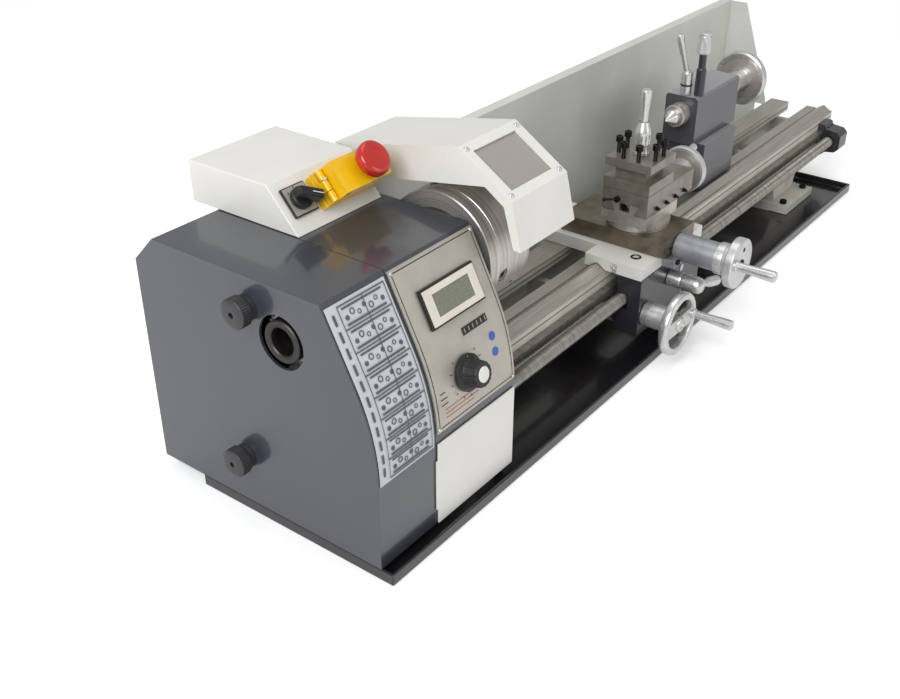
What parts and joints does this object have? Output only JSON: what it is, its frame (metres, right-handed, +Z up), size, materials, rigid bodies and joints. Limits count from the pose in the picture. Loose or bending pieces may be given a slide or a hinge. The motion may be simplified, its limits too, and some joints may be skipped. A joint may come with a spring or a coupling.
{
  "type": "metal_lathe",
  "caption": "Bench metal lathe with ivory and slate enamel, three-jaw chuck with guard, carriage, compound slide, tailstock, splash guard and chip tray.",
  "frame": {"origin": "middle of the chip tray's length on its underside, in the plane of the spindle axis", "axes": "+X along the bed to the tailstock, +Y to the back, +Z up"},
  "size_m": [1.16, 0.4094, 0.3216],
  "materials": {
    "slate_enamel": "gloss_enamel",
    "black_enamel": "gloss_enamel",
    "ivory_enamel": "gloss_enamel",
    "bed_iron": "as_cast",
    "ground_steel": "ground",
    "oiled_steel": "oiled",
    "chrome_plate": "polished",
    "satin_aluminium": "satin",
    "black_plastic": "moulded",
    "yellow_plastic": "moulded",
    "red_plastic": "moulded",
    "belt_rubber": "moulded",
    "clear_plastic": "clear",
    "dark_iron": "painted"
  },
  "bodies": {
    "frame": {"bed": "bed_iron", "chip_tray": "black_enamel", "rack": "oiled_steel", "splash_guard": "ivory_enamel", "headstock": "bed_iron", "headstock_housing": "slate_enamel", "drive_plate": "bed_iron", "motor": "black_enamel", "drive_belt": "belt_rubber", "leadscrew_bracket": "dark_iron", "control_panel": "satin_aluminium", "display_bezel": "ivory_enamel", "electronics_plate": "ivory_enamel", "electrical_box": "ivory_enamel", "switch_plate": "black_plastic", "estop_base": "yellow_plastic", "guard_bracket": "ivory_enamel"},
    "spindle_line": {"spindle": "ground_steel", "spindle_pulley": "satin_aluminium", "chuck_body": "ground_steel"},
    "scroll": {"chuck_scroll": "oiled_steel"},
    "jaw_1": {"chuck_jaw_1": "ground_steel"},
    "jaw_2": {"chuck_jaw_2": "ground_steel"},
    "jaw_3": {"chuck_jaw_3": "ground_steel"},
    "key_pinion": {"chuck_key_pinion": "oiled_steel"},
    "stud": {"stud_gear": "ground_steel"},
    "idler": {"idler_gear": "ground_steel"},
    "feed_screw": {"leadscrew": "ground_steel"},
    "motor_shaft": {"motor_pulley": "satin_aluminium"},
    "cover": {"end_cover": "slate_enamel"},
    "upper_cover_knob": {"cover_knob_upper": "black_plastic"},
    "lower_cover_knob": {"cover_knob_lower": "black_plastic"},
    "carriage": {"saddle": "ivory_enamel", "apron": "dark_iron", "crossfeed_bracket": "bed_iron"},
    "carriage_wheel": {"apron_handwheel": "chrome_plate", "rack_pinion": "oiled_steel"},
    "half_nut_control": {"half_nut_lever": "chrome_plate"},
    "cross": {"cross_slide": "oiled_steel"},
    "cross_feed": {"crossfeed_screw": "satin_aluminium", "crossfeed_crank": "satin_aluminium"},
    "compound": {"compound_base": "ground_steel"},
    "top": {"top_slide": "ground_steel"},
    "top_wheel": {"compound_handwheel": "satin_aluminium"},
    "post": {"tool_post": "oiled_steel"},
    "post_clamp": {"tool_post_lever": "chrome_plate"},
    "tailstock": {"tailstock_base": "dark_iron", "tailstock_body": "dark_iron"},
    "tail_quill": {"quill": "ground_steel", "dead_centre": "chrome_plate"},
    "tail_wheel": {"tailstock_handwheel": "chrome_plate"},
    "quill_lock": {"quill_lock_lever": "chrome_plate"},
    "tail_clamp": {"tailstock_clamp_lever": "chrome_plate"},
    "speed_dial": {"speed_knob": "black_plastic"},
    "switch": {"rotary_switch": "black_plastic"},
    "stop_flap": {"estop_flap": "yellow_plastic"},
    "stop_button": {"estop_button": "red_plastic"},
    "guard": {"chuck_guard": "ivory_enamel", "guard_window": "clear_plastic"}
  },
  "joints": [
    {"name": "spindle_turn", "type": "hinge", "parent": "frame", "child": "spindle_line", "pos_m": [0, 0, 0.206], "axis": [1, 0, 0], "continuous": true},
    {"name": "stud_turn", "type": "hinge", "parent": "frame", "child": "stud", "pos_m": [0, -0.02292, 0.15055], "axis": [1, 0, 0], "continuous": true},
    {"name": "idler_turn", "type": "hinge", "parent": "frame", "child": "idler", "pos_m": [0, -0.04109, 0.11268], "axis": [1, 0, 0], "continuous": true},
    {"name": "leadscrew_turn", "type": "hinge", "parent": "frame", "child": "feed_screw", "pos_m": [0, -0.069, 0.07], "axis": [1, 0, 0], "continuous": true},
    {"name": "motor_turn", "type": "hinge", "parent": "frame", "child": "motor_shaft", "pos_m": [0, 0.112, 0.104], "axis": [1, 0, 0], "continuous": true},
    {"name": "scroll_turn", "type": "hinge", "parent": "spindle_line", "child": "scroll", "pos_m": [0, 0, 0.206], "axis": [1, 0, 0], "range_deg": [-720, 360]},
    {"name": "jaw_1_slide", "type": "slide", "parent": "spindle_line", "child": "jaw_1", "axis": [0, 0, 1], "range_m": [-0.0101, 0.0051]},
    {"name": "jaw_2_slide", "type": "slide", "parent": "spindle_line", "child": "jaw_2", "axis": [0, -0.866, -0.5], "range_m": [-0.0101, 0.0051]},
    {"name": "jaw_3_slide", "type": "slide", "parent": "spindle_line", "child": "jaw_3", "axis": [0, 0.866, -0.5], "range_m": [-0.0101, 0.0051]},
    {"name": "key_turn", "type": "hinge", "parent": "spindle_line", "child": "key_pinion", "pos_m": [-0.3102, -0.04862, 0.19433], "axis": [0, -0.9724, -0.2334], "range_deg": [-5050, 2530]},
    {"name": "cover_slide", "type": "slide", "parent": "frame", "child": "cover", "axis": [-1, 0, 0], "range_m": [0, 0.12]},
    {"name": "upper_knob_turn", "type": "hinge", "parent": "cover", "child": "upper_cover_knob", "pos_m": [-0.564, 0.037, 0.2276], "axis": [1, 0, 0], "continuous": true},
    {"name": "lower_knob_turn", "type": "hinge", "parent": "cover", "child": "lower_cover_knob", "pos_m": [-0.564, 0.0585, 0.0651], "axis": [1, 0, 0], "continuous": true},
    {"name": "carriage_slide", "type": "slide", "parent": "frame", "child": "carriage", "axis": [1, 0, 0], "range_m": [-0.165, 0.04]},
    {"name": "carriage_wheel_turn", "type": "hinge", "parent": "carriage", "child": "carriage_wheel", "pos_m": [-0.069, -0.14, 0.054], "axis": [0, 1, 0], "range_deg": [-121, 486]},
    {"name": "half_nut_turn", "type": "hinge", "parent": "carriage", "child": "half_nut_control", "pos_m": [-0.015, -0.094, 0.078], "axis": [0, -1, 0], "range_deg": [0, 35]},
    {"name": "cross_slide_travel", "type": "slide", "parent": "carriage", "child": "cross", "axis": [0, 1, 0], "range_m": [0, 0.07]},
    {"name": "crossfeed_turn", "type": "hinge", "parent": "carriage", "child": "cross_feed", "pos_m": [-0.011, -0.143, 0.118], "axis": [0, 1, 0], "range_deg": [-1, 5045]},
    {"name": "compound_swivel", "type": "hinge", "parent": "cross", "child": "compound", "pos_m": [-0.011, -0.045, 0.135], "axis": [0, 0, -1], "range_deg": [-60, 60]},
    {"name": "top_slide_travel", "type": "slide", "parent": "compound", "child": "top", "axis": [1, 0, 0], "range_m": [-0.024, 0.016]},
    {"name": "top_wheel_turn", "type": "hinge", "parent": "top", "child": "top_wheel", "pos_m": [0.062, -0.045, 0.164], "axis": [1, 0, 0], "range_deg": [-1730, 1155]},
    {"name": "tool_post_turn", "type": "hinge", "parent": "top", "child": "post", "pos_m": [-0.019, -0.045, 0.183], "axis": [0, 0, 1], "continuous": true},
    {"name": "tool_post_lever_turn", "type": "hinge", "parent": "top", "child": "post_clamp", "pos_m": [-0.019, -0.045, 0.219], "axis": [0, 0, 1], "range_deg": [0, 120]},
    {"name": "tailstock_slide", "type": "slide", "parent": "frame", "child": "tailstock", "axis": [1, 0, 0], "range_m": [-0.03, 0.2]},
    {"name": "tail_wheel_turn", "type": "hinge", "parent": "tailstock", "child": "tail_wheel", "pos_m": [0.337, 0, 0.206], "axis": [-1, 0, 0], "range_deg": [-576, 2880]},
    {"name": "quill_travel", "type": "slide", "parent": "tailstock", "child": "tail_quill", "axis": [-1, 0, 0], "range_m": [-0.0081, 0.0401]},
    {"name": "quill_lock_turn", "type": "hinge", "parent": "tailstock", "child": "quill_lock", "pos_m": [0.1745, 0, 0.206], "axis": [0, 0, 1], "range_deg": [-30, 60]},
    {"name": "tail_clamp_turn", "type": "hinge", "parent": "tailstock", "child": "tail_clamp", "pos_m": [0.18, -0.0155, 0.206], "axis": [0, 0, 1], "range_deg": [-60, 60]},
    {"name": "speed_knob_turn", "type": "hinge", "parent": "frame", "child": "speed_dial", "pos_m": [-0.417, -0.09688, 0.15152], "axis": [0, -0.9689, 0.2475], "range_deg": [-270, 0]},
    {"name": "rotary_switch_turn", "type": "hinge", "parent": "frame", "child": "switch", "pos_m": [-0.444, 0.06712, 0.28256], "axis": [0, -0.7514, 0.6598], "range_deg": [-45, 45]},
    {"name": "stop_flap_lift", "type": "hinge", "parent": "frame", "child": "stop_flap", "pos_m": [-0.4216, 0.04495, 0.27807], "axis": [0, -0.6598, -0.7514], "range_deg": [0, 75]},
    {"name": "stop_button_press", "type": "slide", "parent": "stop_flap", "child": "stop_button", "axis": [0, 0.7514, -0.6598], "range_m": [0, 0.004], "stiffness_N_per_m": 400, "springref_m": -0.004},
    {"name": "guard_lift", "type": "hinge", "parent": "frame", "child": "guard", "pos_m": [-0.3405, 0.106, 0.2745], "axis": [-1, 0, 0], "range_deg": [0, 75]}
  ],
  "couplings": [
    {"joint": "stud_turn", "follows": "spindle_turn", "ratio": -0.66667},
    {"joint": "idler_turn", "follows": "spindle_turn", "ratio": 0.37037},
    {"joint": "leadscrew_turn", "follows": "spindle_turn", "ratio": -0.41667},
    {"joint": "motor_turn", "follows": "spindle_turn", "ratio": 2.3333},
    {"joint": "jaw_1_slide", "follows": "scroll_turn", "m_per_rad": 0.00079577},
    {"joint": "jaw_2_slide", "follows": "scroll_turn", "m_per_rad": 0.00079577},
    {"joint": "jaw_3_slide", "follows": "scroll_turn", "m_per_rad": 0.00079577},
    {"joint": "key_turn", "follows": "scroll_turn", "ratio": 7},
    {"joint": "carriage_wheel_turn", "follows": "carriage_slide", "rad_per_m": -51.282},
    {"joint": "crossfeed_turn", "follows": "cross_slide_travel", "rad_per_m": 1256.6},
    {"joint": "top_wheel_turn", "follows": "top_slide_travel", "rad_per_m": 1256.6},
    {"joint": "quill_travel", "follows": "tail_wheel_turn", "m_per_rad": 0.00079577}
  ]
}
